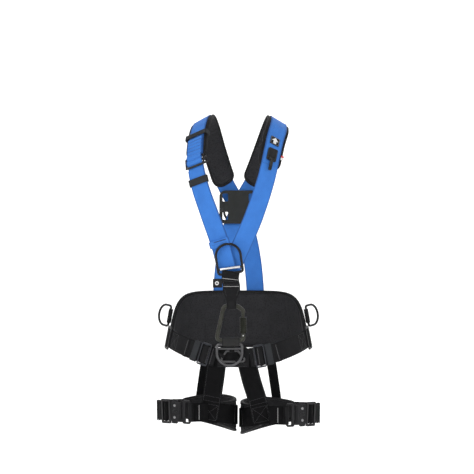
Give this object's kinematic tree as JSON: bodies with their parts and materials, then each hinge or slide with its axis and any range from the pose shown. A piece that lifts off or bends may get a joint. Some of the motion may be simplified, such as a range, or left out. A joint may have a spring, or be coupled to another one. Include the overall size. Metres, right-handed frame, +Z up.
{
  "type": "safety harness",
  "caption": "Full-body fall-arrest and work-positioning harness with blue shoulder straps, padded belt, leg loops, attachment rings and a chest carabiner.",
  "frame": {"origin": "centre of the wearer's waist at belt level", "axes": "+Z up the wearer's body, -Y the way the wearer faces, +X to the wearer's left"},
  "size_m": [0.3964, 0.3207, 0.7805],
  "materials": {
    "webbing_blue": "woven polyester webbing, matt",
    "webbing_black": "woven polyester webbing, matt",
    "padding": "spacer mesh over foam with bound edge",
    "elastic": "ribbed elastic",
    "label_fabric": "woven label",
    "steel_ring": "satin zinc-plated steel",
    "black_ring": "black coated steel, satin",
    "carabiner_alloy": "dark olive-grey anodised",
    "bright_steel": "polished",
    "black_metal": "black coated alloy, satin",
    "black_plastic": "moulded nylon"
  },
  "bodies": {
    "harness": {"belt_bridge": "webbing_black", "belt_keepers": "elastic", "belt_pad": "padding", "belt_webbing": "webbing_black", "buckle_rivets": "bright_steel", "carabiner_body": "carabiner_alloy", "carabiner_gate_pin": "bright_steel", "chest_connector_strap": "webbing_black", "dorsal_plate": "black_plastic", "front_ring": "steel_ring", "left_belt_adjuster": "black_metal", "left_belt_front_strap": "webbing_black", "left_buckle_housing": "black_metal", "left_buckle_tongue": "black_metal", "left_leg_riser": "webbing_black", "left_leg_slide": "black_metal", "left_shoulder_pad": "padding", "left_shoulder_strap": "webbing_blue", "left_side_adjuster": "black_metal", "left_side_ring_loop": "webbing_black", "left_thigh_pad": "padding", "left_thigh_strap": "webbing_black", "left_tongue_strap": "webbing_black", "leg_keepers": "elastic", "marker_label": "label_fabric", "pad_keeper": "elastic", "pad_patch": "label_fabric", "park_plate": "black_plastic", "rear_leg_straps": "webbing_black", "right_belt_adjuster": "black_metal", "right_belt_front_strap": "webbing_black", "right_buckle_housing": "black_metal", "right_buckle_tongue": "black_metal", "right_leg_riser": "webbing_black", "right_leg_slide": "black_metal", "right_shoulder_pad": "padding", "right_shoulder_strap": "webbing_blue", "right_side_adjuster": "black_metal", "right_side_ring_loop": "webbing_black", "right_thigh_pad": "padding", "right_thigh_strap": "webbing_black", "right_tongue_strap": "webbing_black", "ring_folds": "webbing_black", "shoulder_adjuster": "black_metal", "shoulder_fold": "webbing_blue", "shoulder_stitched_end": "webbing_blue", "ventral_loop": "webbing_black"},
    "chest_ring": {"chest_d_ring": "black_ring"},
    "ventral_ring": {"ventral_d_ring": "steel_ring"},
    "dorsal_ring": {"dorsal_d_ring": "black_ring"},
    "right_side_ring": {"right_side_d_ring": "black_ring"},
    "left_side_ring": {"left_side_d_ring": "black_ring"},
    "gate": {"carabiner_gate": "carabiner_alloy"},
    "lock_sleeve": {"carabiner_lock_sleeve": "carabiner_alloy"},
    "parking_tab": {"park_tab": "black_plastic"},
    "keeper_band": {"chest_keeper": "elastic"},
    "right_upper_release": {"right_upper_lever": "black_metal"},
    "right_lower_release": {"right_lower_lever": "black_metal"},
    "left_upper_release": {"left_upper_lever": "black_metal"},
    "left_lower_release": {"left_lower_lever": "black_metal"}
  },
  "joints": [
    {"name": "chest_ring_swing", "type": "hinge", "parent": "harness", "child": "chest_ring", "pos_m": [-0.018, -0.1362, 0.134], "axis": [0.989, 0, 0.1478], "range_deg": [0, 110]},
    {"name": "ventral_ring_swing", "type": "hinge", "parent": "harness", "child": "ventral_ring", "pos_m": [-0.0165, -0.1362, -0.0328], "axis": [-1, 0, 0], "range_deg": [0, 110]},
    {"name": "dorsal_ring_swing", "type": "hinge", "parent": "harness", "child": "dorsal_ring", "pos_m": [0.001, 0.1373, 0.297], "axis": [1, 0, 0], "range_deg": [0, 80]},
    {"name": "right_side_ring_swing", "type": "hinge", "parent": "harness", "child": "right_side_ring", "pos_m": [-0.16762, 0.01154, 0.026], "axis": [0.1756, -0.0138, 0.9844], "range_deg": [0, 120]},
    {"name": "left_side_ring_swing", "type": "hinge", "parent": "harness", "child": "left_side_ring", "pos_m": [0.16762, 0.01154, 0.026], "axis": [0.1756, 0.0138, -0.9844], "range_deg": [0, 120]},
    {"name": "gate_hinge", "type": "hinge", "parent": "harness", "child": "gate", "pos_m": [0.011, -0.1362, -0.012], "axis": [0, -1, 0], "range_deg": [0, 22], "stiffness_Nm_per_rad": 0.08},
    {"name": "sleeve_travel", "type": "slide", "parent": "gate", "child": "lock_sleeve", "axis": [0, 0, 1], "range_m": [0, 0.006]},
    {"name": "parking_tab_swing", "type": "hinge", "parent": "harness", "child": "parking_tab", "pos_m": [0.07893, -0.11546, 0.40204], "axis": [-0.866, -0.3663, 0.3402], "range_deg": [0, 85]},
    {"name": "keeper_travel", "type": "slide", "parent": "harness", "child": "keeper_band", "axis": [-0.2356, 0.1828, 0.9545], "range_m": [-0.008, 0.003]},
    {"name": "right_upper_release_hinge", "type": "hinge", "parent": "harness", "child": "right_upper_release", "pos_m": [-0.1495, -0.09466, -0.18], "axis": [-0.483, -0.8756, 0], "range_deg": [0, 12], "stiffness_Nm_per_rad": 0.03},
    {"name": "right_lower_release_hinge", "type": "hinge", "parent": "harness", "child": "right_lower_release", "pos_m": [-0.1495, -0.09466, -0.208], "axis": [0.483, 0.8756, 0], "range_deg": [0, 12], "stiffness_Nm_per_rad": 0.03},
    {"name": "left_lower_release_hinge", "type": "hinge", "parent": "harness", "child": "left_lower_release", "pos_m": [0.1495, -0.09466, -0.215], "axis": [0.483, -0.8756, 0], "range_deg": [0, 12], "stiffness_Nm_per_rad": 0.03},
    {"name": "left_upper_release_hinge", "type": "hinge", "parent": "harness", "child": "left_upper_release", "pos_m": [0.1495, -0.09466, -0.187], "axis": [-0.483, 0.8756, 0], "range_deg": [0, 12], "stiffness_Nm_per_rad": 0.03}
  ]
}
